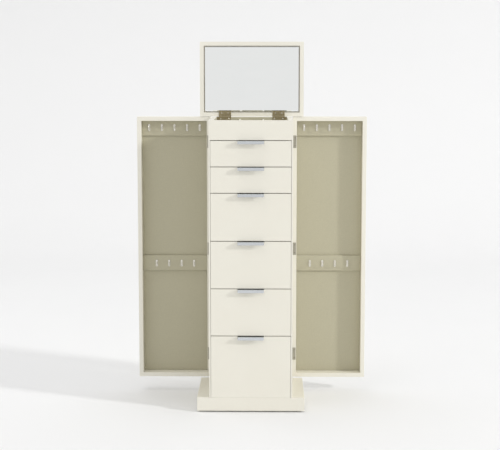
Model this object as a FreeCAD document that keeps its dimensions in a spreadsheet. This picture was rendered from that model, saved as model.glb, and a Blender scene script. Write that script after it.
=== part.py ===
import FreeCAD, Part
import os
import re

import Sketcher

# Floor-standing jewelry cabinet, in millimetres, +Z up, front towards -Y. It is stored as it
# is used: both side doors swung open, and the mirrored lid standing up behind the cabinet.
# The origin is on the floor, under the middle of the space that the open cabinet takes up.

# ---------------------------------------------------------------- driving dimensions

SIZES = {
    # carcass
    "body_width": 304,
    "body_depth": 282,
    "side_thick": 18,
    "side_edge": 5.5,
    "rebate_deep": 17,
    "back_thick": 12,
    "base_thick": 12,
    "front_thick": 16,
    "floor_board_thick": 8,
    # plinth
    "plinth_width": 394,
    "plinth_height": 50,
    "plinth_board_thick": 15,
    "plinth_top_thick": 12,
    "glide_radius": 11,
    "glide_height": 5,
    "glide_inset": 28,
    # drawer fronts, from the top down
    "top_front_height": 71,
    "drawer_1_pitch": 95,
    "drawer_2_pitch": 95,
    "drawer_3_pitch": 174.5,
    "drawer_4_pitch": 174.5,
    "drawer_5_pitch": 174.5,
    "drawer_6_pitch": 231.5,
    "front_gap": 2.5,
    "front_side_gap": 1,
    # drawer boxes and the runners that carry them
    "box_side_gap": 2,
    "box_rear_gap": 14,
    "box_wall_thick": 11,
    "box_below": 12,
    "box_above": 15,
    "box_bottom_thick": 4,
    "box_bottom_rise": 5,
    "pad_thick": 2.5,
    "pad_gap": 0.5,
    "groove_tall": 12.6,
    "groove_deep": 6,
    "runner_tall": 12,
    "runner_reach": 5.5,
    "runner_end_gap": 3,
    # tab pulls
    "pull_width": 95,
    "pull_thick": 2,
    "pull_reach": 16,
    "pull_drop": 11,
    "pull_seat": 13,
    "pull_seat_gap": 0.4,
    "pull_bend": 1.5,
    # jewelry compartment under the lid
    "liner_thick": 1.5,
    "liner_below_top": 0.5,
    "divider_thick": 6,
    "divider_offset": 44,
    "divider_below_top": 8,
    # side doors
    "door_gap": 2,
    "door_depth": 46,
    "door_skin_thick": 6,
    "door_rim_thick": 15.75,
    "door_bottom_gap": 2.5,
    "door_top_gap": 0.5,
    "top_bar_drop": 74,
    "mid_bar_top_drop": 539,
    "mid_bar_bottom_drop": 599,
    "bar_thick": 8,
    # jewelry hooks
    "hook_pitch": 48.5,
    "top_hook_drop": 43,
    "mid_hook_drop": 570,
    "plate_width": 7,
    "plate_tall": 26,
    "plate_thick": 1.6,
    "wire_radius": 1.3,
    "wire_start": 8,
    "wire_bottom": -4,
    "wire_tip": 3,
    "wire_offset": 2.2,
    "throat": 11,
    "tip_ball_radius": 2.2,
    "root_ball_radius": 1.7,
    # lid
    "lid_width": 394,
    "lid_gap": 2.4,
    "lid_rim_deep": 14,
    "lid_rim_wide": 15,
    "lid_skin_thick": 6,
    "mirror_reveal": 4,
    "mirror_thick": 3,
    "mirror_bevel_wide": 4,
    "mirror_bevel_deep": 0.6,
    "mirror_backing_thick": 6,
    # hinges
    "pivot_out": 1,
    "pivot_behind": 3.25,
    "knuckle_radius": 2.85,
    "knuckle_gap": 0.3,
    "pin_radius": 1.3,
    "pin_clearance": 0.05,
    "leaf_start": 3.45,
    "leaf_thick": 0.85,
    "leaf_wide": 14,
    "leaf_tall": 48,
    "door_hinge_end": 95,
    "lid_hinge_offset": 102,
    "lid_leaf_thick": 1,
    "lid_leaf_wide": 46.5,
    "lid_leaf_rise": 21,
    "lid_leaf_drop": 16,
    "lid_leaf_outer": 7,
    "mortise_gap": 0.4,
    # how far cutting tools run past the faces they cut
    "overrun": 1,
}

DRAWERS = range(1, 7)
SIDES = {"left": -1, "right": 1}
HOOKS_ON_TOP_BAR = 5
HOOKS_ON_MID_BAR = 4

# ---------------------------------------------------------------- places used by many pieces

# The open doors stand further back than the pulls stand forward, so the body sits forward
# of the origin by half the difference.
FORWARD = "((pivot_behind + door_gap - pivot_out + door_depth - pull_reach) / 2)"
FRONT = f"(-body_depth / 2 - {FORWARD})"
REAR = f"(body_depth / 2 - {FORWARD})"
PLINTH_TOP = "(glide_height + plinth_height)"
BODY_TOP = (PLINTH_TOP + " + top_front_height + drawer_1_pitch + drawer_2_pitch"
            " + drawer_3_pitch + drawer_4_pitch + drawer_5_pitch + drawer_6_pitch")
INNER_HALF = "(body_width / 2 - side_thick)"
FRONT_HALF = "(body_width / 2 - side_edge)"
INSIDE_START = f"({FRONT} + rebate_deep)"
BACK_FACE = f"({REAR} - back_thick)"
COMPARTMENT_FLOOR = f"({BODY_TOP} - top_front_height + floor_board_thick)"
PIVOT_X = "(body_width / 2 + pivot_out)"
PIVOT_Y = f"({REAR} + pivot_behind)"
LID_PIVOT_Y = REAR
LID_PIVOT_Z = f"({BODY_TOP} + lid_gap / 2)"
MORTISE = "(knuckle_radius + mortise_gap)"

doc = FreeCAD.newDocument("JewelryCabinet")
dims = doc.addObject("Spreadsheet::Sheet", "Dims")
for row, (alias, number) in enumerate(SIZES.items(), start=1):
    dims.set(f"A{row}", str(number))
    dims.setAlias(f"A{row}", alias)
doc.recompute()

nodes = []


# ---------------------------------------------------------------- building blocks

def bind(obj, path, formula):
    """Drive one property from the sheet; the words in the formula are the sheet's aliases."""
    obj.setExpression(path, re.sub(r"[a-z]\w*", lambda word: "Dims." + word.group(0), str(formula)))


def node(obj):
    """List an object as one of the sub-parts that get written out."""
    nodes.append(obj)


def board(name, x, y, z):
    """A rectangular board between a start and an end along each axis."""
    box = doc.addObject("Part::Box", name)
    spans = (("Length", "x", x), ("Width", "y", y), ("Height", "z", z))
    for size, axis, (start, end) in spans:
        bind(box, size, f"({end}) - ({start})")
        bind(box, "Placement.Base." + axis, start)
    return box


def rod(name, radius, length, at, along="z"):
    """A round bar whose end stands at a point and which runs along +X or +Z."""
    bar = doc.addObject("Part::Cylinder", name)
    if along == "x":
        bar.Placement.Rotation = FreeCAD.Rotation(FreeCAD.Vector(0, 1, 0), 90)
    bind(bar, "Radius", radius)
    bind(bar, "Height", length)
    for axis, formula in zip("xyz", at):
        bind(bar, "Placement.Base." + axis, formula)
    return bar


def cut(name, base, tool):
    result = doc.addObject("Part::Cut", name)
    result.Base = base
    result.Tool = tool
    return result


def fuse(name, shapes):
    result = doc.addObject("Part::MultiFuse", name)
    result.Shapes = shapes
    return result


def group(name, members):
    """Separate solids kept together as one sub-part."""
    result = doc.addObject("Part::Compound", name)
    result.Links = members
    return result


def copy_at(name, source, at, turn=0):
    """A linked copy of a piece, turned about the Y axis and moved to a place."""
    link = doc.addObject("App::Link", name)
    link.LinkedObject = source
    link.Placement.Rotation = FreeCAD.Rotation(FreeCAD.Vector(0, 1, 0), turn)
    for axis, formula in zip("xyz", at):
        bind(link, "Placement.Base." + axis, formula)
    return link


def across(sign, near, far):
    """The X span between two distances from the middle plane, on the side that sign names."""
    if sign > 0:
        return (near, far)
    return (f"-({far})", f"-({near})")


def symmetric(half):
    return (f"-({half})", f"{half}")


def attach(body, sketch, role, offset=(0, 0, 0)):
    """Lay a sketch or a solid on one of the body's own planes, moved by an offset."""
    plane = next(item for item in body.Origin.OriginFeatures if item.Role == role)
    sketch.AttachmentSupport = [(plane, "")]
    sketch.AttachmentOffset = FreeCAD.Placement(FreeCAD.Vector(*offset), FreeCAD.Rotation())
    sketch.MapMode = "FlatFace"


def size_of(alias):
    return float(dims.get(alias))


# ---------------------------------------------------------------- plinth

def make_plinth():
    half_x = "plinth_width / 2"
    board_z = ("glide_height", f"{PLINTH_TOP} - plinth_top_thick")
    node(board("plinth_top", symmetric(half_x), (FRONT, REAR), (board_z[1], PLINTH_TOP)))

    inner_y = (f"{FRONT} + plinth_board_thick", f"{REAR} - plinth_board_thick")
    boards = [
        board("plinth_board_front", symmetric(half_x), (FRONT, inner_y[0]), board_z),
        board("plinth_board_rear", symmetric(half_x), (inner_y[1], REAR), board_z),
    ]
    for side, sign in SIDES.items():
        span = across(sign, f"{half_x} - plinth_board_thick", half_x)
        boards.append(board(f"plinth_board_{side}", span, inner_y, board_z))
    node(group("plinth_boards", boards))

    glides = []
    for side, sign in SIDES.items():
        for end, way in (("front", -1), ("rear", 1)):
            x = f"{sign} * ({half_x} - glide_inset)"
            y = f"{way} * (body_depth / 2 - glide_inset) - {FORWARD}"
            glides.append(rod(f"glide_{side}_{end}", "glide_radius", "glide_height", (x, y, "0")))
    node(group("plinth_glides", glides))


# ---------------------------------------------------------------- carcass

def make_carcass():
    """Side panels rebated along their front edges, so that the fronts cover most of them."""
    tall = (PLINTH_TOP, BODY_TOP)
    rebate_y = (f"{FRONT} - overrun", INSIDE_START)
    rebate_z = (f"{PLINTH_TOP} - overrun", f"{BODY_TOP} + overrun")
    for side, sign in SIDES.items():
        span = across(sign, INNER_HALF, "body_width / 2")
        blank = board(f"{side}_side_blank", span, (FRONT, REAR), tall)
        rebate_x = across(sign, f"{INNER_HALF} - overrun", FRONT_HALF)
        rebate = board(f"{side}_side_rebate", rebate_x, rebate_y, rebate_z)
        node(cut(f"{side}_side_panel", blank, rebate))

    between = symmetric(INNER_HALF)
    back = board("back_board", between, (BACK_FACE, REAR), tall)
    mortise_y = (f"{LID_PIVOT_Y} - {MORTISE}", f"{REAR} + overrun")
    mortise_z = (f"{LID_PIVOT_Z} - {MORTISE}", f"{BODY_TOP} + overrun")
    node(cut("back_panel", back, lid_hinge_mortises("back", mortise_y, mortise_z)))
    base_y = (f"{FRONT} + front_thick + front_gap", BACK_FACE)
    node(board("base_panel", between, base_y, (PLINTH_TOP, f"{PLINTH_TOP} + base_thick")))
    compartment_bottom = f"{BODY_TOP} - top_front_height"
    top_front_z = (compartment_bottom, BODY_TOP)
    node(board("top_front_panel", symmetric(FRONT_HALF), (FRONT, INSIDE_START), top_front_z))
    floor_z = (compartment_bottom, COMPARTMENT_FLOOR)
    node(board("compartment_floor", between, (INSIDE_START, BACK_FACE), floor_z))


def lid_hinge_mortises(name, y, z):
    """Recesses for the knuckles of both lid hinges."""
    recesses = []
    for side, sign in SIDES.items():
        half = "lid_leaf_wide / 2 + mortise_gap"
        span = across(sign, f"lid_hinge_offset - ({half})", f"lid_hinge_offset + {half}")
        recesses.append(board(f"{name}_mortise_{side}", span, y, z))
    return group(f"{name}_mortises", recesses)


def make_compartment_liner():
    """Fabric-covered boards on the compartment's floor and round its four walls."""
    floor_top = f"{COMPARTMENT_FLOOR} + liner_thick"
    wall_z = (floor_top, f"{BODY_TOP} - liner_below_top")
    inner_y = (f"{INSIDE_START} + liner_thick", f"{BACK_FACE} - liner_thick")
    floor_z = (COMPARTMENT_FLOOR, floor_top)
    whole_x = symmetric(INNER_HALF)
    liner = [
        board("liner_floor", whole_x, (INSIDE_START, BACK_FACE), floor_z),
        board("liner_front", whole_x, (INSIDE_START, inner_y[0]), wall_z),
        board("liner_rear", whole_x, (inner_y[1], BACK_FACE), wall_z),
    ]
    for side, sign in SIDES.items():
        span = across(sign, f"{INNER_HALF} - liner_thick", INNER_HALF)
        liner.append(board(f"liner_{side}", span, inner_y, wall_z))
    node(group("compartment_lining", liner))

    dividers = []
    divider_z = (floor_top, f"{BODY_TOP} - divider_below_top")
    for side, sign in SIDES.items():
        near = "divider_offset - divider_thick / 2"
        span = across(sign, near, f"{near} + divider_thick")
        dividers.append(board(f"divider_{side}", span, inner_y, divider_z))
    node(group("compartment_dividers", dividers))


# ---------------------------------------------------------------- drawers

def drawer_bottom(number):
    """Height of the lower edge of a drawer's place in the stack."""
    below = [f"drawer_{other}_pitch" for other in DRAWERS if other > number]
    return " + ".join([PLINTH_TOP] + below)


def runner_middle(number):
    rise = f"(drawer_{number}_pitch - box_above + box_below) / 2"
    return f"{drawer_bottom(number)} + {rise}"


def make_runners():
    """Two hardwood strips per drawer, screwed to the side panels."""
    runners = []
    run_y = (f"{FRONT} + front_thick + runner_end_gap", f"{BACK_FACE} - runner_end_gap")
    for number in DRAWERS:
        middle = runner_middle(number)
        tall = (f"{middle} - runner_tall / 2", f"{middle} + runner_tall / 2")
        for side, sign in SIDES.items():
            near = f"{INNER_HALF} - box_side_gap - runner_reach"
            span = across(sign, near, INNER_HALF)
            runners.append(board(f"runner_{number}_{side}", span, run_y, tall))
    node(group("drawer_runners", runners))


def make_drawer_front(number):
    low = drawer_bottom(number)
    high = f"{low} + drawer_{number}_pitch - front_gap"
    span = symmetric(f"{FRONT_HALF} - front_side_gap")
    panel = board(f"front_{number}_panel", span, (FRONT, f"{FRONT} + front_thick"), (low, high))
    seat_x = symmetric("pull_width / 2 + pull_seat_gap")
    seat_y = (f"{FRONT} - overrun", f"{FRONT} + pull_seat + pull_seat_gap")
    seat_z = (f"{high} - pull_thick", f"{high} + overrun")
    seat = board(f"front_{number}_seat", seat_x, seat_y, seat_z)
    node(cut(f"drawer_{number}_front", panel, seat))


def make_drawer_box(number):
    """Glued drawer box: grooved sides, inner front, back and bottom, with a pad on the bottom."""
    low = f"{drawer_bottom(number)} + box_below"
    high = f"{drawer_bottom(number)} + drawer_{number}_pitch - box_above"
    half = f"{INNER_HALF} - box_side_gap"
    inner = f"{half} - box_wall_thick"
    start = f"{FRONT} + front_thick"
    end = f"{BACK_FACE} - box_rear_gap"
    middle = runner_middle(number)
    groove_y = (f"{start} + front_gap", f"{end} + overrun")
    groove_z = (f"{middle} - groove_tall / 2", f"{middle} + groove_tall / 2")
    boards = []
    for side, sign in SIDES.items():
        tag = f"box_{number}_{side}"
        wall = board(f"{tag}_wall", across(sign, inner, half), (start, end), (low, high))
        groove_x = across(sign, f"{half} - groove_deep", f"{half} + overrun")
        groove = board(f"{tag}_groove", groove_x, groove_y, groove_z)
        boards.append(cut(tag, wall, groove))
    width = symmetric(inner)
    inner_y = (f"{start} + box_wall_thick", f"{end} - box_wall_thick")
    boards.append(board(f"box_{number}_inner_front", width, (start, inner_y[0]), (low, high)))
    boards.append(board(f"box_{number}_back", width, (inner_y[1], end), (low, high)))
    base = f"{low} + box_bottom_rise"
    top = f"{base} + box_bottom_thick"
    boards.append(board(f"box_{number}_bottom", width, inner_y, (base, top)))
    node(group(f"drawer_{number}_box", boards))

    pad_x = symmetric(f"{inner} - pad_gap")
    pad_y = (f"{inner_y[0]} + pad_gap", f"{inner_y[1]} - pad_gap")
    node(board(f"drawer_{number}_lining", pad_x, pad_y, (top, f"{top} + pad_thick")))


def make_pull(number):
    """A bent metal tab let into the top edge of the front, with a lip hanging before it."""
    top = f"({drawer_bottom(number)} + drawer_{number}_pitch - front_gap)"
    lip_y = f"({FRONT} - pull_reach)"
    outline = [
        (lip_y, f"{top} - pull_drop"),
        (f"{lip_y} + pull_thick", f"{top} - pull_drop"),
        (f"{lip_y} + pull_thick", f"{top} - pull_thick"),
        (f"{FRONT} + pull_seat", f"{top} - pull_thick"),
        (f"{FRONT} + pull_seat", top),
        (lip_y, top),
    ]
    body = doc.addObject("PartDesign::Body", f"drawer_{number}_pull")
    sketch = body.newObject("Sketcher::SketchObject", f"pull_{number}_outline")
    attach(body, sketch, "YZ_Plane")
    count = len(outline)
    for index in range(count):
        start = FreeCAD.Vector(index, index % 2, 0)
        end = FreeCAD.Vector((index + 1) % count, (index + 1) % 2, 0)
        sketch.addGeometry(Part.LineSegment(start, end))
    for index in range(count):
        following = (index + 1) % count
        sketch.addConstraint(Sketcher.Constraint("Coincident", index, 2, following, 1))
    for index, corner in enumerate(outline):
        for kind, formula in zip(("DistanceX", "DistanceY"), corner):
            place = sketch.addConstraint(Sketcher.Constraint(kind, -1, 1, index, 1, 1.0 + index))
            bind(sketch, f"Constraints[{place}]", formula)
    pad = body.newObject("PartDesign::Pad", f"pull_{number}_pad")
    pad.Profile = sketch
    pad.SideType = "Symmetric"
    bind(pad, "Length", "pull_width")
    doc.recompute()
    bend = body.newObject("PartDesign::Fillet", f"pull_{number}_bend")
    bend.Base = (pad, [outer_bend(pad.Shape)])
    bind(bend, "Radius", "pull_bend")
    node(body)


def outer_bend(shape):
    """Name of the long edge where the lip's front face meets the flange's top face."""
    whole = shape.BoundBox
    for index, edge in enumerate(shape.Edges, start=1):
        box = edge.BoundBox
        at_front = abs(box.YMax - whole.YMin) < 0.01
        at_top = abs(box.ZMin - whole.ZMax) < 0.01
        if at_front and at_top:
            return f"Edge{index}"
    raise RuntimeError("the pull has no bend edge")


# ---------------------------------------------------------------- hooks

def make_hook():
    """One jewelry hook about the middle of its plate's back face, standing out towards -Y."""
    body = doc.addObject("PartDesign::Body", "hook")
    face = body.newObject("Sketcher::SketchObject", "hook_plate_outline")
    attach(body, face, "XZ_Plane")
    half_x = size_of("plate_width") / 2
    half_z = size_of("plate_tall") / 2 - half_x
    corner = FreeCAD.Vector
    face.addGeometry(Part.LineSegment(corner(-half_x, -half_z, 0), corner(-half_x, half_z, 0)))
    face.addGeometry(Part.Arc(corner(-half_x, half_z, 0), corner(0, half_z + half_x, 0),
                              corner(half_x, half_z, 0)))
    face.addGeometry(Part.LineSegment(corner(half_x, half_z, 0), corner(half_x, -half_z, 0)))
    face.addGeometry(Part.Arc(corner(half_x, -half_z, 0), corner(0, -half_z - half_x, 0),
                              corner(-half_x, -half_z, 0)))
    plate = body.newObject("PartDesign::Pad", "hook_plate")
    plate.Profile = face
    bind(plate, "Length", "plate_thick")

    offset = -size_of("wire_offset")
    tip = offset - size_of("throat")
    bottom = size_of("wire_bottom")
    path = body.newObject("Sketcher::SketchObject", "hook_wire_path")
    attach(body, path, "YZ_Plane")
    path.addGeometry(Part.LineSegment(corner(offset, size_of("wire_start"), 0),
                                      corner(offset, bottom, 0)))
    path.addGeometry(Part.Arc(corner(offset, bottom, 0),
                              corner((offset + tip) / 2, bottom - size_of("throat") / 2, 0),
                              corner(tip, bottom, 0)))
    path.addGeometry(Part.LineSegment(corner(tip, bottom, 0), corner(tip, size_of("wire_tip"), 0)))
    section = body.newObject("Sketcher::SketchObject", "hook_wire_section")
    attach(body, section, "XY_Plane", (0, 0, size_of("wire_start")))
    section.addGeometry(Part.Circle(corner(0, offset, 0), corner(0, 0, 1), size_of("wire_radius")))
    wire = body.newObject("PartDesign::AdditivePipe", "hook_wire")
    wire.Profile = section
    wire.Spine = path
    ends = {
        "root_ball": (offset, size_of("wire_start")),
        "tip_ball": (tip, size_of("wire_tip")),
    }
    for name, (along, height) in ends.items():
        ball = body.newObject("PartDesign::AdditiveSphere", f"hook_{name}")
        attach(body, ball, "XY_Plane", (0, along, height))
        bind(ball, "Radius", f"{name}_radius")
    return body


# ---------------------------------------------------------------- side doors

def make_door(side, sign, hook):
    """An open tray with a lacquered rim, lined inside, with two padded hook bars."""
    near = f"({PIVOT_X} + pivot_behind)"
    far = f"({near} + body_depth)"
    face = f"({PIVOT_Y} + door_gap - pivot_out)"
    back = f"({face} + door_depth)"
    skin = f"({back} - door_skin_thick)"
    low = f"({PLINTH_TOP} + door_bottom_gap)"
    high = f"({BODY_TOP} - door_top_gap)"
    inner_x = across(sign, f"{near} + door_rim_thick", f"{far} - door_rim_thick")
    inner_z = (f"{low} + door_rim_thick", f"{high} - door_rim_thick")

    whole_x = across(sign, near, far)
    boards = [
        board(f"{side}_rim_top", whole_x, (face, skin), (inner_z[1], high)),
        board(f"{side}_rim_bottom", whole_x, (face, skin), (low, inner_z[0])),
    ]
    hinge_edge = across(sign, near, f"{near} + door_rim_thick")
    boards.append(board(f"{side}_rim_hinge_edge", hinge_edge, (face, skin), inner_z))
    free_edge = across(sign, f"{far} - door_rim_thick", far)
    boards.append(board(f"{side}_rim_free_edge", free_edge, (face, skin), inner_z))
    node(group(f"{side}_door_frame", boards))
    node(board(f"{side}_door_panel", whole_x, (skin, back), (low, high)))
    lining_y = (f"{skin} - pad_thick", skin)
    node(board(f"{side}_door_lining", inner_x, lining_y, inner_z))

    bar_y = (f"{lining_y[0]} - bar_thick", lining_y[0])
    top_bar_z = (f"{BODY_TOP} - top_bar_drop", inner_z[1])
    mid_bar_z = (f"{BODY_TOP} - mid_bar_bottom_drop", f"{BODY_TOP} - mid_bar_top_drop")
    node(group(f"{side}_door_hook_bars", [
        board(f"{side}_top_bar", inner_x, bar_y, top_bar_z),
        board(f"{side}_mid_bar", inner_x, bar_y, mid_bar_z),
    ]))

    middle_x = f"{sign} * ({near} + {far}) / 2"
    hooks = []
    rows = (("top", HOOKS_ON_TOP_BAR, "top_hook_drop"), ("mid", HOOKS_ON_MID_BAR, "mid_hook_drop"))
    for row_name, count, drop in rows:
        for index in range(count):
            x = f"{middle_x} + ({index} - {(count - 1) / 2}) * hook_pitch"
            place = (x, bar_y[0], f"{BODY_TOP} - {drop}")
            hooks.append(copy_at(f"{side}_{row_name}_hook_{index + 1}", hook, place))
    node(group(f"{side}_door_hooks", hooks))


# ---------------------------------------------------------------- door hinges

def knuckle_span(whole, third):
    """Start and end of one of the three knuckles along a hinge, from the hinge's middle."""
    start = f"(2 * {third} - 3) * {whole} / 6 + knuckle_gap / 2"
    return (start, f"{start} + {whole} / 3 - knuckle_gap")


def make_leaf(name, plates, thirds, whole, bore, along):
    """A leaf about its pin's middle: flat plates with knuckles on the given thirds."""
    solids = list(plates)
    for third in thirds:
        start, end = knuckle_span(whole, third)
        place = (start, "0", "0") if along == "x" else ("0", "0", start)
        length = f"{end} - ({start})"
        solids.append(rod(f"{name}_knuckle_{third}", "knuckle_radius", length, place, along))
    start = f"-{whole} / 2 - overrun"
    place = (start, "0", "0") if along == "x" else ("0", "0", start)
    drill = rod(f"{name}_bore", bore, f"{whole} + 2 * overrun", place, along)
    return cut(name, fuse(f"{name}_blank", solids), drill)


def make_door_hinges():
    """Three butt hinges per door, their pins standing just behind the rear corner."""
    whole = "leaf_tall"
    run = ("leaf_start", "pivot_behind + leaf_wide")
    tall = symmetric(f"{whole} / 2 - knuckle_gap / 2")

    body_face = ("-pivot_out", "leaf_thick - pivot_out")
    body_plates = [board("body_leaf_plate", body_face, (f"-({run[1]})", f"-({run[0]})"), tall)]
    for third in (0, 2):
        web_y = (f"-({run[1]})", "0")
        web = board(f"body_leaf_web_{third}", body_face, web_y, knuckle_span(whole, third))
        body_plates.append(web)
    body_leaf = make_leaf("body_leaf", body_plates, (0, 2), whole, "pin_radius", "z")

    door_face = ("door_gap - pivot_out - leaf_thick", "door_gap - pivot_out")
    door_plates = [
        board("door_leaf_plate", run, door_face, tall),
        board("door_leaf_web", ("0", run[1]), door_face, knuckle_span(whole, 1)),
    ]
    door_leaf = make_leaf("door_leaf", door_plates, (1,), whole, "pin_radius + pin_clearance", "z")

    pin = group("door_pin", [rod("door_pin_rod", "pin_radius", whole, ("0", "0", f"-{whole} / 2"))])
    body_leaves = []
    pins = []
    for side, sign in SIDES.items():
        door_leaves = []
        turn = 0 if sign > 0 else 180
        places = {
            "upper": f"{BODY_TOP} - door_hinge_end",
            "middle": f"({BODY_TOP} + {PLINTH_TOP}) / 2",
            "lower": f"{PLINTH_TOP} + door_hinge_end",
        }
        for name, height in places.items():
            place = (f"{sign} * {PIVOT_X}", PIVOT_Y, height)
            tag = f"{side}_{name}"
            body_leaves.append(copy_at(f"{tag}_body_leaf", body_leaf, place, turn))
            door_leaves.append(copy_at(f"{tag}_door_leaf", door_leaf, place, turn))
            pins.append(copy_at(f"{tag}_pin", pin, place, turn))
        node(group(f"{side}_door_hinge_leaves", door_leaves))
    node(group("door_hinge_body_leaves", body_leaves))
    node(group("door_hinge_pins", pins))


# ---------------------------------------------------------------- lid

def make_lid():
    """The lid stands upright at rest: its rim and mirror face the front."""
    face = f"({LID_PIVOT_Y} + lid_gap / 2)"
    skin = f"({face} + lid_rim_deep)"
    low = LID_PIVOT_Z
    high = f"({low} + body_depth)"
    half = "lid_width / 2"
    inner_half = f"{half} - lid_rim_wide"
    inner_z = (f"{low} + lid_rim_wide", f"{high} - lid_rim_wide")
    mortise_y = (f"{face} - overrun", f"{LID_PIVOT_Y} + {MORTISE}")
    mortise_z = (f"{low} - overrun", f"{low} + {MORTISE}")
    mortises = lid_hinge_mortises("lid", mortise_y, mortise_z)
    rims = [
        board("lid_rim_top", symmetric(half), (face, skin), (inner_z[1], high)),
        cut("lid_rim_bottom", board("lid_rim_bottom_blank", symmetric(half), (face, skin),
                                    (low, inner_z[0])), mortises),
    ]
    for side, sign in SIDES.items():
        rims.append(board(f"lid_rim_{side}", across(sign, inner_half, half), (face, skin), inner_z))
    node(group("lid_frame", rims))
    node(board("lid_panel", symmetric(half), (skin, f"{skin} + lid_skin_thick"), (low, high)))

    glass_x = symmetric(f"{inner_half} - mirror_reveal")
    glass_z = (f"{inner_z[0]} + mirror_reveal", f"{inner_z[1]} - mirror_reveal")
    backing_y = f"({skin} - mirror_backing_thick)"
    node(board("mirror_backing", glass_x, (backing_y, skin), glass_z))
    glass_y = f"{backing_y} - mirror_thick"
    edge_y = f"{glass_y} + mirror_bevel_deep"
    pane = board("mirror_pane", glass_x, (edge_y, backing_y), glass_z)
    bevel = bevelled_face("mirror_bevel", glass_x, (glass_y, edge_y), glass_z)
    node(fuse("lid_mirror", [bevel, pane]))


def bevelled_face(name, x, y, z):
    """The front layer of the glass, narrowing on all four sides towards the front."""
    layer = doc.addObject("Part::Wedge", name)
    for axis, (start, end) in (("X", x), ("Z", z)):
        bind(layer, f"{axis}min", f"{start} + mirror_bevel_wide")
        bind(layer, f"{axis}max", f"{end} - mirror_bevel_wide")
        bind(layer, f"{axis}2min", start)
        bind(layer, f"{axis}2max", end)
    bind(layer, "Ymin", y[0])
    bind(layer, "Ymax", y[1])
    return layer


def make_lower_leaf(side, sign):
    """A leaf over the back panel's top edge and down its inner face, wider on its outer side."""
    whole = "lid_leaf_wide"
    top_z = ("-lid_gap / 2", "lid_leaf_thick - lid_gap / 2")
    inner_y = "-(back_thick + liner_thick)"
    face_y = f"{inner_y} - lid_leaf_thick"
    over_x = symmetric(f"{whole} / 2 - knuckle_gap / 2")
    drop_x = across(sign, f"-{whole} / 2", f"{whole} / 2 + lid_leaf_outer")
    over_y = (face_y, "-leaf_start")
    drop_z = (f"{top_z[1]} - lid_leaf_drop", top_z[1])
    plates = [
        board(f"{side}_lower_leaf_over", over_x, over_y, top_z),
        board(f"{side}_lower_leaf_drop", drop_x, (face_y, inner_y), drop_z),
    ]
    for third in (0, 2):
        tag = f"{side}_lower_leaf_web_{third}"
        plates.append(board(tag, knuckle_span(whole, third), (face_y, "0"), top_z))
    return make_leaf(f"{side}_lower_leaf", plates, (0, 2), whole, "pin_radius", "x")


def make_lid_hinges():
    """Two hinges whose pins lie level with the back panel's rear face, half let into its top."""
    whole = "lid_leaf_wide"
    lid_face = ("lid_gap / 2 - lid_leaf_thick", "lid_gap / 2")
    plate_x = symmetric(f"{whole} / 2 - knuckle_gap / 2")
    plate_z = ("leaf_start", "lid_leaf_rise")
    plates = [
        board("upper_leaf_plate", plate_x, lid_face, plate_z),
        board("upper_leaf_web", knuckle_span(whole, 1), lid_face, ("0", plate_z[1])),
    ]
    bore = "pin_radius + pin_clearance"
    upper_leaf = make_leaf("upper_leaf", plates, (1,), whole, bore, "x")
    pin_rod = rod("lid_pin_rod", "pin_radius", whole, (f"-{whole} / 2", "0", "0"), "x")
    pin = group("lid_pin", [pin_rod])

    copies = {"upper_leaves": [], "lower_leaves": [], "pins": []}
    for side, sign in SIDES.items():
        place = (f"{sign} * lid_hinge_offset", LID_PIVOT_Y, LID_PIVOT_Z)
        sources = (upper_leaf, make_lower_leaf(side, sign), pin)
        for (kind, placed), source in zip(copies.items(), sources):
            placed.append(copy_at(f"{side}_lid_{kind}", source, place))
    for kind, placed in copies.items():
        node(group(f"lid_hinge_{kind}", placed))


# ---------------------------------------------------------------- build, check, write

def check(obj):
    if any(word in ("Invalid", "Error") for word in obj.State):
        raise RuntimeError(f"{obj.Name} failed: {obj.State}")


def write_nodes():
    os.makedirs("parts", exist_ok=True)
    for obj in doc.Objects:
        check(obj)
    for obj in nodes:
        shape = Part.getShape(obj)
        if shape.isNull() or not shape.isValid():
            raise RuntimeError(f"{obj.Name} has no valid shape")
    for obj in nodes:
        obj.Shape.exportStep(f"parts/{obj.Name}.step")
    print(len(nodes), "nodes written")


make_plinth()
make_carcass()
make_compartment_liner()
make_runners()
for drawer in DRAWERS:
    make_drawer_front(drawer)
    make_drawer_box(drawer)
    make_pull(drawer)
jewelry_hook = make_hook()
for door_side, door_sign in SIDES.items():
    make_door(door_side, door_sign, jewelry_hook)
make_door_hinges()
make_lid()
make_lid_hinges()
doc.recompute()
write_nodes()
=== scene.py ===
import math

import bmesh
import bpy
from mathutils import Matrix, Vector, noise


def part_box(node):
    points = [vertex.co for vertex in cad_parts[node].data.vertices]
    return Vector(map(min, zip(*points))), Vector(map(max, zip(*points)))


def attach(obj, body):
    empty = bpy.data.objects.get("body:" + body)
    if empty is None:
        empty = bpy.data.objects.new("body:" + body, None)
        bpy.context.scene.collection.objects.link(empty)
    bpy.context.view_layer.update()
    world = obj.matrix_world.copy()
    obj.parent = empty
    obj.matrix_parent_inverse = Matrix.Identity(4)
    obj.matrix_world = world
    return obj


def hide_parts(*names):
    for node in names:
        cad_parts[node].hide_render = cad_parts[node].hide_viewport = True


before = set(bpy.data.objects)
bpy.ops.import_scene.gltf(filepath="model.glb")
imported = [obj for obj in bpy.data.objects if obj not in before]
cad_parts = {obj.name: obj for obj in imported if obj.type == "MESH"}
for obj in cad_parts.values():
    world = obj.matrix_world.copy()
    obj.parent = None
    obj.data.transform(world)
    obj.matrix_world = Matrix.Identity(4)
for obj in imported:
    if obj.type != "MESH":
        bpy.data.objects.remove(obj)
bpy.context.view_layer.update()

# The looks of a floor-standing jewelry cabinet: cream lacquer, woven lining in the doors,
# drawers and tray, nickel hooks, grey door hinges, bronze lid hinges and a mirror in the lid.
# Everything is in metres and in the frame's axes: +X right, +Y to the rear, +Z up.

MM = 0.001
SIDES = ("left", "right")
DRAWERS = range(1, 7)

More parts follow.
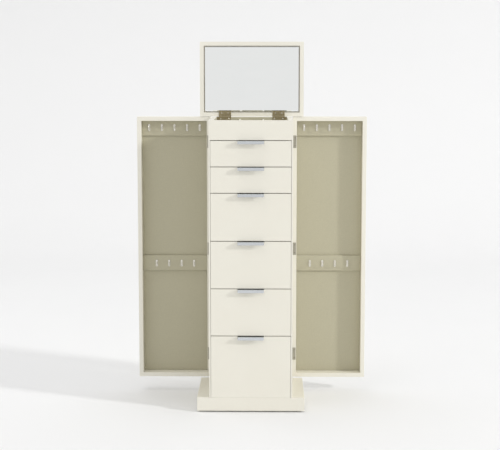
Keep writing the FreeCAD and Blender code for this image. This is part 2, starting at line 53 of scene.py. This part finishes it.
# Screws: how far the rims of their heads lie below the surface, the height of a head over its
# rim as a share of its radius, and how much lower the heads of hinge screws are.
SUNK = 0.3 * MM
CROWN = 0.33
HINGE_FLAT = 0.35

# Doors: two cloth bars, and hooks on them at heights measured from the top of the door.
TOP_BAR_TALL = 58.25 * MM
MID_BAR_TALL = 60 * MM
HOOK_PITCH = 48.5 * MM
HOOK_ROWS = ((5, -42.5 * MM), (4, -569.5 * MM))
HOOK_PLATE_THICK = 1.6 * MM
PLATE_SCREWS = ((11.0 * MM, 1.25 * MM), (-9.6 * MM, 1.4 * MM))

# Door hinges
DOOR_LEAF_THICK = 0.85 * MM
DOOR_LEAF_TALL = 48 * MM
LEAF_SCREW_INSET = 5.2 * MM
LEAF_SCREW_SPREAD = 15 * MM
LEAF_SCREW_RADIUS = 2.4 * MM

# Lid hinges
LID_HINGE_X = 102 * MM
LID_LEAF_THICK = 1.0 * MM
LID_SCREW_INSET = 8 * MM
UPPER_SCREW_SPREAD = 12 * MM
UPPER_SCREW_RADIUS = 2.7 * MM
LOWER_SCREW_SPREAD = 16 * MM
LOWER_SCREW_RADIUS = 2.8 * MM

# Plinth and drawer pulls
PLINTH_WALL = 15 * MM
PLINTH_TOP_THICK = 12 * MM
PULL_SCREW_SPREAD = 30 * MM
PULL_SCREW_INSET = 6.5 * MM
PULL_SCREW_RADIUS = 2.4 * MM


# ---------------------------------------------------------------- material helpers

def new_material(name, **values):
    """A node material whose shader's own sockets take the given uniform values."""
    material = bpy.data.materials.new(name)
    material.use_nodes = True
    shader = material.node_tree.nodes["Principled BSDF"]
    for socket, value in values.items():
        shader.inputs[socket.replace("_", " ")].default_value = value
    return material, shader


def add(material, kind, **values):
    """A node of that kind; values set its properties, or its inputs where it has no such property."""
    made = material.node_tree.nodes.new(kind)
    for name, value in values.items():
        if hasattr(made, name):
            setattr(made, name, value)
        else:
            made.inputs[name.replace("_", " ")].default_value = value
    return made


def link(material, source, target):
    material.node_tree.links.new(source, target)


def place(material, scale=(1, 1, 1), turn=(0, 0, 0)):
    """Object coordinates, which are metres in the frame, stretched and turned for a texture."""
    coordinates = add(material, "ShaderNodeTexCoord")
    mapping = add(material, "ShaderNodeMapping")
    mapping.inputs["Scale"].default_value = scale
    mapping.inputs["Rotation"].default_value = turn
    link(material, coordinates.outputs["Object"], mapping.inputs["Vector"])
    return mapping.outputs["Vector"]


def cloud(material, where, scale, detail=2.0, roughness=0.5):
    made = add(material, "ShaderNodeTexNoise", Scale=scale, Detail=detail, Roughness=roughness)
    link(material, where, made.inputs["Vector"])
    return made.outputs["Fac"]


def remap(material, source, low, high, start=0.0, end=1.0):
    made = add(material, "ShaderNodeMapRange")
    made.inputs["From Min"].default_value = start
    made.inputs["From Max"].default_value = end
    made.inputs["To Min"].default_value = low
    made.inputs["To Max"].default_value = high
    link(material, source, made.inputs["Value"])
    return made.outputs["Result"]


def blend_colours(material, factor, first, second):
    made = add(material, "ShaderNodeMix", data_type="RGBA")
    colours = [socket for socket in made.inputs if socket.type == "RGBA"]
    for socket, colour in zip(colours, (first, second)):
        if isinstance(colour, tuple):
            socket.default_value = colour
        else:
            link(material, colour, socket)
    link(material, factor, made.inputs[0])
    return next(socket for socket in made.outputs if socket.type == "RGBA")


def bump(material, shader, height, distance, strength):
    made = add(material, "ShaderNodeBump", Distance=distance, Strength=strength)
    link(material, height, made.inputs["Height"])
    link(material, made.outputs["Normal"], shader.inputs["Normal"])


def combine(material, operation, first, second):
    made = add(material, "ShaderNodeMath", operation=operation)
    for socket, value in zip(made.inputs, (first, second)):
        if isinstance(value, (int, float)):
            socket.default_value = value
        else:
            link(material, value, socket)
    return made.outputs["Value"]


def tone(red, green, blue):
    """A colour given as display values from 0 to 255."""
    def linear(value):
        value /= 255
        return value / 12.92 if value <= 0.04045 else ((value + 0.055) / 1.055) ** 2.4
    return (linear(red), linear(green), linear(blue), 1.0)


# ---------------------------------------------------------------- materials

def lacquer(name, base, shade):
    """Satin sprayed lacquer: barely uneven colour, faint orange peel and soft gloss changes."""
    material, shader = new_material(name, Coat_Weight=0.12, Coat_Roughness=0.22, IOR=1.48)
    where = place(material)
    tint = blend_colours(material, cloud(material, where, 7.0, 4.0), base, shade)
    link(material, tint, shader.inputs["Base Color"])
    sheen_change = cloud(material, where, 23.0, 3.0)
    link(material, remap(material, sheen_change, 0.36, 0.46), shader.inputs["Roughness"])
    peel = cloud(material, where, 420.0, 2.0)
    bump(material, shader, peel, 0.00006, 0.35)
    return material


def woven(name, light, dark, thread=1.1 * MM):
    """Plain-weave cloth: two sets of threads crossing, slubs along them, painted shade where the threads
    lie low and a mottled dye.
    """
    material, shader = new_material(name, Roughness=0.92, Sheen_Weight=0.25, Sheen_Roughness=0.5)
    shader.inputs["Specular IOR Level"].default_value = 0.2
    where = place(material)
    wave_scale = 2 * math.pi / (20 * thread)
    threads = []
    for direction in ("X", "Z"):
        made = add(material, "ShaderNodeTexWave", Scale=wave_scale, Distortion=0.6, Detail=1.0)
        made.bands_direction = direction
        made.inputs["Detail Scale"].default_value = 2.0
        link(material, where, made.inputs["Vector"])
        threads.append(made.outputs["Fac"])
    across_threads = place(material, (900, 900, 60))
    along_threads = place(material, (60, 900, 900))
    slub_up = cloud(material, across_threads, 1.0, 2.0)
    slub_along = cloud(material, along_threads, 1.0, 2.0)
    slubs = combine(material, "MULTIPLY", combine(material, "ADD", slub_up, slub_along), 0.5)
    weave = combine(material, "MAXIMUM", *threads)
    height = combine(material, "MULTIPLY", combine(material, "ADD", weave, slubs), 0.5)
    mottle = remap(material, cloud(material, place(material), 260.0, 4.0, 0.6), 0.3, 0.7)
    # Painted shade: the colour darkens where the weave and slubs lie low, mixed with a random mottle.
    weave_shade_and_mottle = combine(material, "MULTIPLY", combine(material, "ADD", height, mottle), 0.5)
    shades = blend_colours(material, remap(material, weave_shade_and_mottle, 0.0, 1.0, 0.3, 0.75), dark, light)
    link(material, shades, shader.inputs["Base Color"])
    bump(material, shader, height, 0.00035, 0.6)
    return material


def metal(name, colour, shade, rough, grain=(1, 1, 1), grain_scale=60.0, relief=0.00004):
    """Bare or plated metal whose grain runs along the axis with the smallest scale."""
    material, shader = new_material(name, Metallic=1.0)
    where = place(material, grain)
    marks = cloud(material, where, grain_scale, 4.0, 0.6)
    link(material, blend_colours(material, marks, colour, shade), shader.inputs["Base Color"])
    link(material, remap(material, marks, rough[0], rough[1]), shader.inputs["Roughness"])
    bump(material, shader, marks, relief, 0.5)
    return material


def silvered_glass():
    """Mirror glass with the faintest haze left by wiping."""
    material, shader = new_material("mirror_glass", Metallic=1.0)
    haze = cloud(material, place(material, (1, 1, 3)), 9.0, 3.0)
    tint = blend_colours(material, haze, tone(250, 251, 250), tone(246, 248, 247))
    link(material, tint, shader.inputs["Base Color"])
    link(material, remap(material, haze, 0.012, 0.03), shader.inputs["Roughness"])
    return material


def timber(name, light, dark, along="X"):
    """Sealed wood: long streaks along the grain and fine pores."""
    material, shader = new_material(name, Coat_Weight=0.08, Coat_Roughness=0.3)
    stretch = {"X": (4, 60, 60), "Y": (60, 4, 60), "Z": (60, 60, 4)}[along]
    streaks = cloud(material, place(material, stretch), 1.0, 6.0, 0.6)
    pores = cloud(material, place(material, tuple(9 * value for value in stretch)), 1.0, 3.0, 0.7)
    both = combine(material, "MULTIPLY", combine(material, "ADD", streaks, pores), 0.5)
    figure = remap(material, both, 0.0, 1.0, 0.36, 0.64)
    link(material, blend_colours(material, figure, dark, light), shader.inputs["Base Color"])
    link(material, remap(material, pores, 0.42, 0.58), shader.inputs["Roughness"])
    bump(material, shader, both, 0.0001, 0.4)
    return material


def moulded(name, colour, shade):
    """Dull moulded plastic with a fine spark-eroded texture."""
    material, shader = new_material(name)
    grains = cloud(material, place(material), 1500.0, 2.0)
    link(material, blend_colours(material, grains, colour, shade), shader.inputs["Base Color"])
    link(material, remap(material, grains, 0.5, 0.65), shader.inputs["Roughness"])
    bump(material, shader, grains, 0.00005, 0.4)
    return material


CREAM = lacquer("cream_lacquer", tone(238, 235, 223), tone(235, 231, 218))
LINING = woven("sage_lining", tone(199, 194, 170), tone(171, 166, 144))
MIRROR = silvered_glass()
PULL = metal("brushed_pull", tone(220, 223, 225), tone(202, 206, 210), (0.2, 0.32), (2, 60, 60), 9.0)
NICKEL = metal("polished_nickel", tone(240, 238, 232), tone(222, 219, 211), (0.1, 0.2))
BRONZE = metal("aged_bronze", tone(214, 200, 164), tone(84, 73, 52), (0.3, 0.5), (1, 1, 1), 380.0, 0.0002)
HINGE_GREY = metal("brushed_hinge", tone(196, 192, 178), tone(150, 145, 130), (0.25, 0.4), (60, 60, 4), 8.0)
STEEL = metal("turned_steel", tone(150, 146, 138), tone(118, 113, 104), (0.25, 0.4), (1, 1, 30), 40.0)
BOX_WOOD = timber("sealed_birch", tone(233, 220, 192), tone(214, 196, 160))
RUNNER_WOOD = timber("waxed_beech", tone(206, 172, 128), tone(178, 140, 98), "Y")
# Painted shade: a dark board behind the mirror, so the gap round the mirror reads as a shaded groove.
GROOVE_SHADE_BOARD = lacquer("mirror_groove_shade", tone(120, 112, 96), tone(108, 100, 85))
BLACK_PLASTIC = moulded("glide_plastic", tone(52, 48, 44), tone(40, 37, 34))


# ---------------------------------------------------------------- shape helpers

def add_object(name, mesh, material, body, replaced=()):
    for polygon in mesh.polygons:
        polygon.use_smooth = True
    piece = bpy.data.objects.new(name, mesh)
    bpy.context.scene.collection.objects.link(piece)
    mesh.materials.append(material)
    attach(piece, body)
    if replaced:
        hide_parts(*replaced)
    return piece


def mesh_from(name, bm):
    bmesh.ops.recalc_face_normals(bm, faces=bm.faces)
    mesh = bpy.data.meshes.new(name)
    bm.to_mesh(mesh)
    bm.free()
    return mesh


def ease_edges(piece, width, segments=3):
    """Rounds the arrises of a piece, as sanding before the lacquer does."""
    bevel = piece.modifiers.new("eased_edges", "BEVEL")
    bevel.width = width
    bevel.segments = segments
    bevel.limit_method = "ANGLE"
    bevel.angle_limit = math.radians(40)
    bevel.harden_normals = True
    bevel.use_clamp_overlap = True


def dress(node, material, edge=0.0, segments=3):
    """Gives a CAD node its material, and eases its edges where it has flat boards."""
    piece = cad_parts[node]
    piece.data.materials.clear()
    piece.data.materials.append(material)
    if edge:
        weld = piece.modifiers.new("weld", "WELD")
        weld.merge_threshold = 0.00001
        ease_edges(piece, edge, segments)


def tray_mesh(name, low, high, axis, wall, floor):
    """A seamless box, open towards the negative end of an axis, with even walls and a floor."""
    low, high = Vector(low), Vector(high)
    flat = [index for index in range(3) if index != axis]

    def ring(inset, level):
        corners = []
        for first, second in ((0, 0), (1, 0), (1, 1), (0, 1)):
            point = Vector((0, 0, 0))
            point[axis] = level
            for index, far in zip(flat, (first, second)):
                point[index] = high[index] - inset if far else low[index] + inset
            corners.append(point)
        return corners

    bm = bmesh.new()
    rings = []
    levels = ((0, high[axis]), (0, low[axis]), (wall, low[axis]), (wall, high[axis] - floor))
    for inset, level in levels:
        rings.append([bm.verts.new(point) for point in ring(inset, level)])
    for inner, outer in zip(rings, rings[1:]):
        for index in range(4):
            after = (index + 1) % 4
            bm.faces.new((inner[index], inner[after], outer[after], outer[index]))
    bm.faces.new(rings[0])
    bm.faces.new(rings[-1])
    return mesh_from(name, bm)


def pillow_mesh(name, low, high, axis, sign, edge, cell, ripple=0.0, seed=0.0):
    """A cloth-covered pad: flat back, front towards sign along axis, its edges rolled over."""
    low, high = Vector(low), Vector(high)
    flat = [index for index in range(3) if index != axis]
    thickness = high[axis] - low[axis]
    back = low[axis] if sign > 0 else high[axis]
    counts = []
    lines = []
    for index in flat:
        span = high[index] - low[index]
        inner = max(2, round((span - 2 * edge) / cell))
        stops = [edge * (1 - math.cos(math.pi / 2 * step / 5)) for step in range(5)]
        middle = [edge + (span - 2 * edge) * step / inner for step in range(inner + 1)]
        tail = [span - value for value in reversed(stops)]
        lines.append(stops + middle + tail)
        counts.append(len(lines[-1]))

    def roll(value, span):
        inward = min(value, span - value)
        if inward >= edge:
            return 1.0
        return math.sqrt(max(0.0, 1 - (1 - inward / edge) ** 2))

    bm = bmesh.new()
    front = []
    spans = [high[index] - low[index] for index in flat]
    for first in lines[0]:
        row = []
        for second in lines[1]:
            rise = roll(first, spans[0]) * roll(second, spans[1])
            point = Vector((0, 0, 0))
            point[flat[0]] = low[flat[0]] + first
            point[flat[1]] = low[flat[1]] + second
            wave = noise.noise(Vector((first * 9 + seed, second * 9, seed)))
            depth = thickness - min(edge, thickness) * (1 - rise) - ripple * (0.5 + 0.5 * wave) * rise
            point[axis] = back + sign * depth
            row.append(bm.verts.new(point))
        front.append(row)
    for first in range(counts[0] - 1):
        for second in range(counts[1] - 1):
            corners = (front[first][second], front[first + 1][second],
                       front[first + 1][second + 1], front[first][second + 1])
            bm.faces.new(corners)
    rim = [row[0] for row in front]
    rim += front[-1][1:]
    rim += [row[-1] for row in reversed(front[:-1])]
    rim += list(reversed(front[0][1:-1]))
    lower = []
    for vertex in rim:
        point = vertex.co.copy()
        point[axis] = back
        lower.append(bm.verts.new(point))
    count = len(rim)
    for index in range(count):
        after = (index + 1) % count
        bm.faces.new((rim[index], rim[after], lower[after], lower[index]))
    bm.faces.new(lower)
    bmesh.ops.remove_doubles(bm, verts=bm.verts, dist=0.000002)
    return mesh_from(name, bm)


def frame_of(direction, up=(0, 0, 1)):
    """A turn that takes +Z to a direction."""
    direction = Vector(direction).normalized()
    side = Vector(up).cross(direction)
    if side.length < 0.01:
        side = Vector((1, 0, 0)).cross(direction)
    side.normalize()
    return Matrix((side, direction.cross(side), direction)).transposed()


def add_screw(bm, at, direction, radius, turn, flat):
    """A domed screw head with a cross recess, its rim at a point. Flat scales its height."""
    spin = frame_of(direction) @ Matrix.Rotation(turn, 3, "Z")
    steps = 24

    def circle(size, height):
        points = []
        for step in range(steps):
            angle = 2 * math.pi * (step + 0.5) / steps
            points.append(Vector((size * math.cos(angle), size * math.sin(angle), height)))
        return points

    def cross(height, size):
        arm, half = size * radius, 0.12 * radius
        outline = []
        for quarter in range(4):
            rotation = Matrix.Rotation(quarter * math.pi / 2, 3, "Z")
            outline += [rotation @ Vector((arm, -half, height)), rotation @ Vector((arm, half, height)),
                        rotation @ Vector((half * 1.3, half * 1.3, height))]
        return outline

    def rise(points):
        squash = Vector((1, 1, flat))
        return [bm.verts.new(Vector(at) + spin @ (point * squash)) for point in points]

    profile = [(1.0, -0.10), (1.0, 0.05), (0.93, 0.16), (0.76, 0.26)]
    rings = [rise(circle(size * radius, height * radius)) for size, height in profile]
    for inner, outer in zip(rings, rings[1:]):
        for index in range(steps):
            after = (index + 1) % steps
            bm.faces.new((inner[index], inner[after], outer[after], outer[index]))
    bm.faces.new(rings[0])
    mouth = rise(cross(CROWN * radius, 0.55))
    deep = rise(cross(-0.05 * radius, 0.35))
    ring = rings[-1]
    for index in range(12):
        after = (index + 1) % 12
        first = (2 * index - 1) % steps
        second = (first + 1) % steps
        third = (second + 1) % steps
        bm.faces.new((ring[first], ring[second], mouth[index]))
        bm.faces.new((ring[second], ring[third], mouth[after], mouth[index]))
        bm.faces.new((mouth[index], mouth[after], deep[after], deep[index]))
    bm.faces.new(deep)


def screws(name, heads, material, body, flat=1.0):
    """One piece holding several screw heads, each (place, direction, radius)."""
    bm = bmesh.new()
    for index, (at, direction, radius) in enumerate(heads):
        add_screw(bm, at, direction, radius, 0.7 * index + 0.3, flat)
    return add_object(name, mesh_from(name, bm), material, body)


def let_in(radius):
    """How far a hinge screw's rim lies below the leaf: its head stands out 0.1 mm, so leaves fold."""
    return HINGE_FLAT * CROWN * radius - 0.1 * MM


# ---------------------------------------------------------------- cabinet

def make_plinth():
    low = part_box("plinth_boards")[0]
    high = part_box("plinth_top")[1]
    mesh = tray_mesh("plinth_shell", low, high, 2, PLINTH_WALL, PLINTH_TOP_THICK)
    piece = add_object("plinth_shell", mesh, CREAM, "cabinet",
                       ("plinth_boards", "plinth_top"))
    ease_edges(piece, 1.2 * MM)
    dress("plinth_glides", BLACK_PLASTIC, 0.8 * MM)


def make_case():
    for node in ("left_side_panel", "right_side_panel", "back_panel", "base_panel",
                 "top_front_panel", "compartment_floor"):
        dress(node, CREAM, 0.5 * MM)
    dress("compartment_dividers", CREAM, 0.8 * MM)
    dress("drawer_runners", RUNNER_WOOD, 0.6 * MM)


def make_compartment_lining():
    """Cloth-covered boards: a soft floor and four thin wall pads."""
    low, high = (Vector(corner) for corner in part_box("compartment_lining"))
    thick = 1.5 * MM
    gap = 0.2 * MM
    pads = {
        "floor": ((low.x, low.y, low.z), (high.x, high.y, low.z + thick), 2, 1),
        "front": ((low.x, low.y, low.z + thick), (high.x, low.y + thick, high.z), 1, 1),
        "rear": ((low.x, high.y - thick, low.z + thick), (high.x, high.y, high.z), 1, -1),
        "left": ((low.x, low.y + thick + gap, low.z + thick),
                 (low.x + thick, high.y - thick - gap, high.z), 0, 1),
        "right": ((high.x - thick, low.y + thick + gap, low.z + thick),
                  (high.x, high.y - thick - gap, high.z), 0, -1),
    }
    for name, (start, end, axis, sign) in pads.items():
        mesh = pillow_mesh(f"compartment_lining_{name}", start, end, axis, sign, 1.0 * MM, 12 * MM)
        piece = add_object(f"compartment_lining_{name}", mesh, LINING, "cabinet")
        if name == "floor":
            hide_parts("compartment_lining")


# ---------------------------------------------------------------- drawers

def make_drawer(number):
    body = f"drawer_{number}"
    dress(f"{body}_front", CREAM, 0.8 * MM)
    dress(f"{body}_box", BOX_WOOD, 0.8 * MM, 2)
    dress(f"{body}_pull", PULL)
    low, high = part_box(f"{body}_lining")
    mesh = pillow_mesh(f"{body}_pad", low, high, 2, 1, 2.2 * MM, 10 * MM, 0.5 * MM, number)
    pad = add_object(f"{body}_pad", mesh, LINING, body, (f"{body}_lining",))

    high = Vector(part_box(f"{body}_pull")[1])
    heads = []
    for x in (-PULL_SCREW_SPREAD, PULL_SCREW_SPREAD):
        at = (x, high.y - PULL_SCREW_INSET, high.z - SUNK)
        heads.append((at, (0, 0, 1), PULL_SCREW_RADIUS))
    screws(f"{body}_pull_screws", heads, STEEL, body)


# ---------------------------------------------------------------- doors

def make_door(side):
    body = f"{side}_door"
    low = Vector(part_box(f"{body}_frame")[0])
    high = Vector(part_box(f"{body}_panel")[1])
    skin = high.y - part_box(f"{body}_panel")[0][1]
    lining_low, lining_high = (Vector(corner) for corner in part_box(f"{body}_lining"))
    rim = lining_low.x - low.x
    mesh = tray_mesh(f"{body}_shell", low, high, 1, rim, skin)
    shell = add_object(f"{body}_shell", mesh, CREAM, body,
                       (f"{body}_frame", f"{body}_panel"))
    ease_edges(shell, 1.0 * MM)

    mesh = pillow_mesh(f"{body}_backing_cloth", lining_low, lining_high, 1, -1,
                       2.0 * MM, 14 * MM, 0.5 * MM, 3.0)
    cloth = add_object(f"{body}_backing_cloth", mesh, LINING, body,
                       (f"{body}_lining",))

    bars_low, bars_high = (Vector(corner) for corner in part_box(f"{body}_hook_bars"))
    tall = {
        "top": (bars_high.z - TOP_BAR_TALL, bars_high.z),
        "middle": (bars_low.z, bars_low.z + MID_BAR_TALL),
    }
    for name, (bottom, top) in tall.items():
        start = (bars_low.x, bars_low.y, bottom)
        end = (bars_high.x, bars_high.y, top)
        mesh = pillow_mesh(f"{body}_{name}_bar", start, end, 1, -1, 2.5 * MM, 9 * MM, 0.4 * MM, 8.0)
        bar = add_object(f"{body}_{name}_bar", mesh, LINING, body)
        if name == "top":
            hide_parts(f"{body}_hook_bars")
    dress(f"{body}_hooks", NICKEL)
    plate_screws = []
    middle = (bars_low.x + bars_high.x) / 2
    front = bars_low.y - HOOK_PLATE_THICK + 0.5 * SUNK
    for count, height in HOOK_ROWS:
        for index in range(count):
            x = middle + (index - (count - 1) / 2) * HOOK_PITCH
            for rise, radius in PLATE_SCREWS:
                plate_screws.append(((x, front, high.z + height + rise), (0, -1, 0), radius))
    screws(f"{body}_hook_screws", plate_screws, NICKEL, body)

    dress(f"{body}_hinge_leaves", HINGE_GREY)
    leaf_low, leaf_high = (Vector(corner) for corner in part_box(f"{body}_hinge_leaves"))
    outward = -1 if side == "left" else 1
    free_edge = leaf_low.x if side == "left" else leaf_high.x
    heads = []
    for height in hinge_heights(leaf_low.z, leaf_high.z):
        surface = low.y - DOOR_LEAF_THICK + let_in(LEAF_SCREW_RADIUS)
        at = (free_edge - outward * LEAF_SCREW_INSET, surface, height)
        heads.append((at, (0, -1, 0), LEAF_SCREW_RADIUS))
    screws(f"{body}_hinge_screws", heads, STEEL, body, HINGE_FLAT)


def hinge_heights(bottom, top):
    """Heights of the screws in three hinges, given where the lowest begins and the highest ends."""
    half = DOOR_LEAF_TALL / 2
    middles = (bottom + half, (bottom + top) / 2, top - half)
    offsets = (-LEAF_SCREW_SPREAD, LEAF_SCREW_SPREAD)
    return [middle + offset for middle in middles for offset in offsets]


def make_door_hinges():
    """The leaves on the cabinet's sides, with their pins and screws."""
    dress("door_hinge_body_leaves", HINGE_GREY)
    dress("door_hinge_pins", STEEL)
    low, high = (Vector(corner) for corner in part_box("door_hinge_body_leaves"))
    heads = []
    for side, outward in (("left", -1), ("right", 1)):
        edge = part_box(f"{side}_side_panel")[0 if side == "left" else 1][0]
        for height in hinge_heights(low.z, high.z):
            surface = edge + outward * (DOOR_LEAF_THICK - let_in(LEAF_SCREW_RADIUS))
            at = (surface, low.y + LEAF_SCREW_INSET, height)
            heads.append((at, (outward, 0, 0), LEAF_SCREW_RADIUS))
    screws("door_hinge_body_screws", heads, STEEL, "cabinet", HINGE_FLAT)


# ---------------------------------------------------------------- lid

def make_lid():
    """The rim's boards are cut away round the hinge knuckles, so they are shown as they are."""
    dress("lid_frame", CREAM)
    dress("lid_panel", CREAM)
    # Painted shade: the dark backing shows in the gap round the mirror as a shaded groove.
    dress("mirror_backing", GROOVE_SHADE_BOARD, 0.4 * MM)
    dress("lid_mirror", MIRROR, 0.5 * MM)


def make_lid_hinges():
    dress("lid_hinge_upper_leaves", BRONZE)
    dress("lid_hinge_lower_leaves", BRONZE)
    dress("lid_hinge_pins", STEEL)
    upper_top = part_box("lid_hinge_upper_leaves")[1][2]
    rim_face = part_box("lid_frame")[0][1]
    lower_low = Vector(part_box("lid_hinge_lower_leaves")[0])
    upper, lower = [], []
    for middle in (-LID_HINGE_X, LID_HINGE_X):
        for way in (-1, 1):
            surface = rim_face - LID_LEAF_THICK + let_in(UPPER_SCREW_RADIUS)
            at = (middle + way * UPPER_SCREW_SPREAD, surface, upper_top - LID_SCREW_INSET)
            upper.append((at, (0, -1, 0), UPPER_SCREW_RADIUS))
            x = middle + way * LOWER_SCREW_SPREAD
            at = (x, lower_low.y + SUNK, lower_low.z + LID_SCREW_INSET)
            lower.append((at, (0, -1, 0), LOWER_SCREW_RADIUS))
    screws("lid_hinge_upper_screws", upper, NICKEL, "lid", HINGE_FLAT)
    screws("lid_hinge_lower_screws", lower, NICKEL, "cabinet")


# ---------------------------------------------------------------- stage

def make_floor():
    bm = bmesh.new()
    reach, rear, bend = 7.0, 5.0, 2.0
    profile = [(-reach, 0.0), (rear - bend, 0.0)]
    for step in range(1, 25):
        angle = math.pi / 2 * step / 24
        profile.append((rear - bend + bend * math.sin(angle), bend - bend * math.cos(angle)))
    profile.append((rear, 7.0))
    lines = [[bm.verts.new((x, y, z)) for y, z in profile] for x in (-9.0, 9.0)]
    for index in range(len(profile) - 1):
        bm.faces.new((lines[0][index], lines[1][index], lines[1][index + 1], lines[0][index + 1]))
    floor = bpy.data.objects.new("floor", mesh_from("floor", bm))
    for polygon in floor.data.polygons:
        polygon.use_smooth = True
    bpy.context.scene.collection.objects.link(floor)
    material, shader = new_material("studio_floor", Roughness=0.9)
    shader.inputs["Specular IOR Level"].default_value = 0.1
    where = place(material)
    paper = blend_colours(material, cloud(material, where, 2.0), tone(241, 241, 241), tone(239, 239, 239))
    # Painted shade: the sweep is coloured darker from 0.1 m up to 1.8 m high and stays so above.
    height = add(material, "ShaderNodeSeparateXYZ")
    link(material, where, height.inputs["Vector"])
    rise = remap(material, height.outputs["Z"], 0.0, 1.0, 0.1, 1.8)
    tint = blend_colours(material, rise, paper, tone(233, 233, 233))
    link(material, tint, shader.inputs["Base Color"])
    floor.data.materials.append(material)


def make_light(name, place_at, target, size, power):
    lamp = bpy.data.lights.new(name, "AREA")
    lamp.shape = "RECTANGLE"
    lamp.size, lamp.size_y = size
    lamp.energy = power
    holder = bpy.data.objects.new(name, lamp)
    holder.location = place_at
    aim = Vector(target) - Vector(place_at)
    holder.rotation_euler = aim.to_track_quat("-Z", "Y").to_euler()
    bpy.context.scene.collection.objects.link(holder)


def make_studio():
    """A pale surround, lighter at the horizon than above, a far key on the right and a top light."""
    world = bpy.data.worlds.new("studio")
    world.use_nodes = True
    background = world.node_tree.nodes["Background"]
    background.inputs["Color"].default_value = (1.0, 1.0, 1.0, 1)
    coordinates = add(world, "ShaderNodeTexCoord")
    direction = add(world, "ShaderNodeSeparateXYZ")
    link(world, coordinates.outputs["Generated"], direction.inputs["Vector"])
    strength = remap(world, direction.outputs["Z"], 0.83, 0.71, 0.05, 0.4)
    link(world, strength, background.inputs["Strength"])
    bpy.context.scene.world = world
    make_light("key", (13.2, -5.2, 6.2), (0, 0, 0.7), (1.1, 1.1), 1000)
    make_light("overhead", (-1.8, 0.0, 5.2), (-1.6, 0.4, 0), (4.5, 4.5), 66)
    bpy.context.scene.view_settings.view_transform = "Standard"


def make_camera():
    """A long lens in front of the cabinet, a little to its right and looking slightly down."""
    lens = bpy.data.cameras.new("camera")
    lens.sensor_width = 36.0
    lens.lens = 85.6
    lens.shift_y = -0.05
    lens.clip_end = 60
    camera = bpy.data.objects.new("camera", lens)
    camera.location = (0.0589, -4.4053, 1.275)
    camera.rotation_euler = (math.pi / 2 - 0.1149, 0, 0.0145)
    bpy.context.scene.collection.objects.link(camera)
    bpy.context.scene.camera = camera


make_plinth()
make_case()
make_compartment_lining()
for drawer in DRAWERS:
    make_drawer(drawer)
for door_side in SIDES:
    make_door(door_side)
make_door_hinges()
make_lid()
make_lid_hinges()
make_floor()
make_studio()
make_camera()
